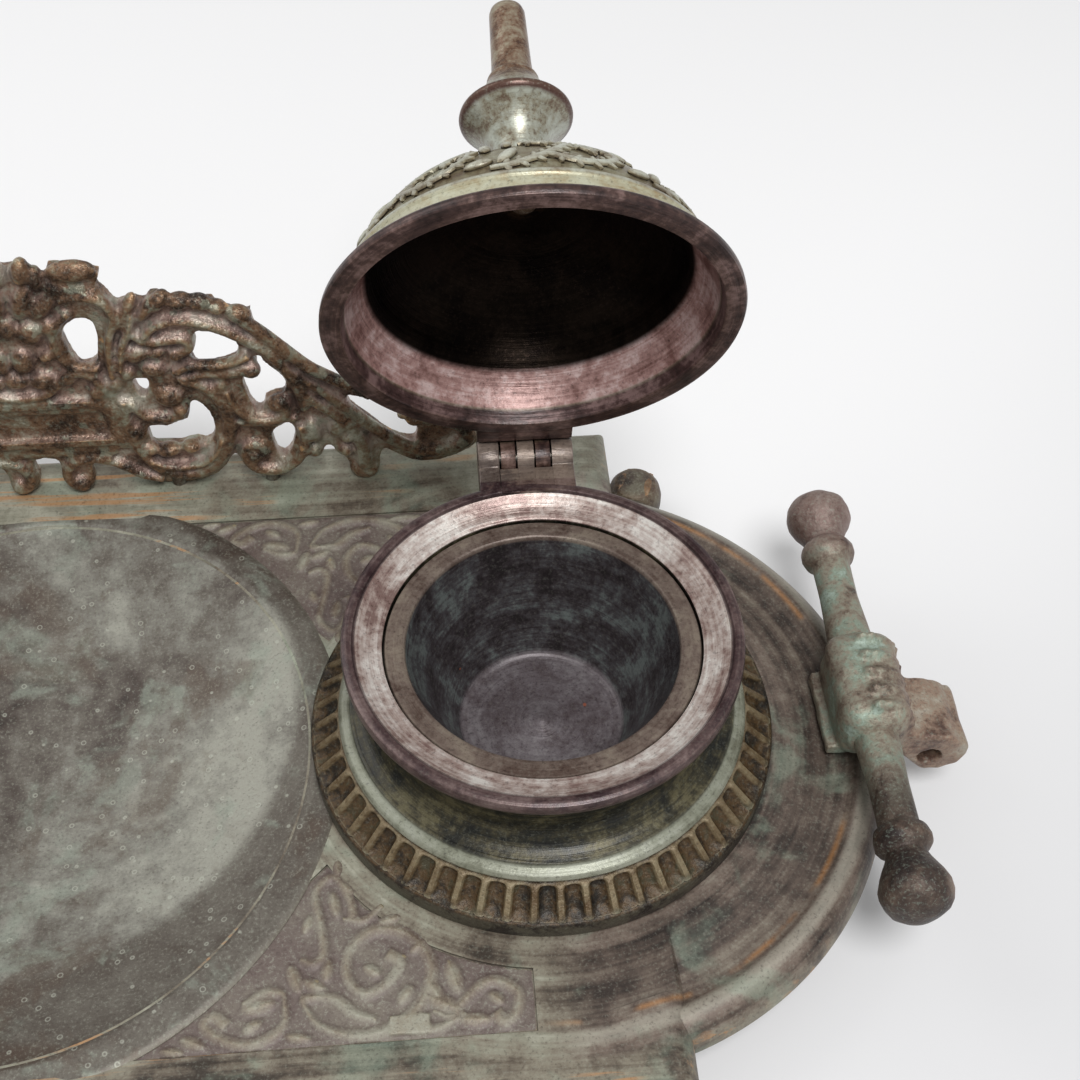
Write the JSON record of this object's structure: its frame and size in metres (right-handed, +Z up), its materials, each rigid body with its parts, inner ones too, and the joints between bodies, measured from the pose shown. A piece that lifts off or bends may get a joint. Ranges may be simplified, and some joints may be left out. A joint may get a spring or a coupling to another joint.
{
  "type": "desk inkstand",
  "caption": "Cast bronze desk inkstand: hinged domed wells with lift-out liners, a round dish between them, a pierced scroll gallery and a baluster handle at each end.",
  "frame": {"origin": "on the table plane, under the middle of the whole outline with both lids standing open", "axes": "+X from the left well to the right well, +Y away from the writer, +Z up"},
  "size_m": [0.334, 0.1705, 0.1149],
  "materials": {
    "tray_bronze": "brushed verdigris patina on cast bronze",
    "foot_bronze": "worn dark bronze",
    "panel_bronze": "low relief, worn high spots over a green ground",
    "gallery_bronze": "dark bronze with mauve and green patina",
    "ring_bronze": "fluted, gold-brown with pale green ridges",
    "well_bronze": "mauve-brown patina, satin",
    "lid_bronze": "dark brown patina, satin",
    "finial_bronze": "grey-green, rubbed glossy",
    "liner_bronze": "dark brown, turned, lightly oxidised",
    "handle_bronze": "speckled verdigris",
    "strap_bronze": "pinkish brown patina",
    "steel": "dull, lightly rusted"
  },
  "bodies": {
    "stand": {"base_tray": "tray_bronze", "foot_front_left": "foot_bronze", "foot_front_right": "foot_bronze", "foot_back_left": "foot_bronze", "foot_back_right": "foot_bronze", "foot_screws": "steel", "scroll_panel_front_left": "panel_bronze", "scroll_panel_front_right": "panel_bronze", "scroll_panel_back_left": "panel_bronze", "scroll_panel_back_right": "panel_bronze", "gallery": "gallery_bronze", "gallery_screws": "steel", "foot_ring_left": "ring_bronze", "foot_ring_right": "ring_bronze", "well_body_left": "well_bronze", "well_body_right": "well_bronze", "well_screws_left": "steel", "well_screws_right": "steel", "hinge_pin_left": "steel", "hinge_pin_right": "steel", "handle_bar_left": "handle_bronze", "handle_bar_right": "handle_bronze", "handle_strap_left": "strap_bronze", "handle_strap_right": "strap_bronze", "handle_screws_left": "steel", "handle_screws_right": "steel"},
    "lid_left": {"lid_left": "lid_bronze", "finial_left": "finial_bronze"},
    "lid_right": {"lid_right": "lid_bronze", "finial_right": "finial_bronze"},
    "liner_left": {"liner_left": "liner_bronze"},
    "liner_right": {"liner_right": "liner_bronze"}
  },
  "joints": [
    {"name": "lid_left_hinge", "type": "hinge", "parent": "stand", "child": "lid_left", "pos_m": [-0.092, 0.03028, 0.043], "axis": [-1, 0, 0], "range_deg": [-75, 0]},
    {"name": "lid_right_hinge", "type": "hinge", "parent": "stand", "child": "lid_right", "pos_m": [0.092, 0.03028, 0.043], "axis": [-1, 0, 0], "range_deg": [-75, 0]},
    {"name": "liner_left_lift", "type": "slide", "parent": "stand", "child": "liner_left", "axis": [0, 0, 1], "range_m": [0, 0.009]},
    {"name": "liner_right_lift", "type": "slide", "parent": "stand", "child": "liner_right", "axis": [0, 0, 1], "range_m": [0, 0.009]}
  ]
}
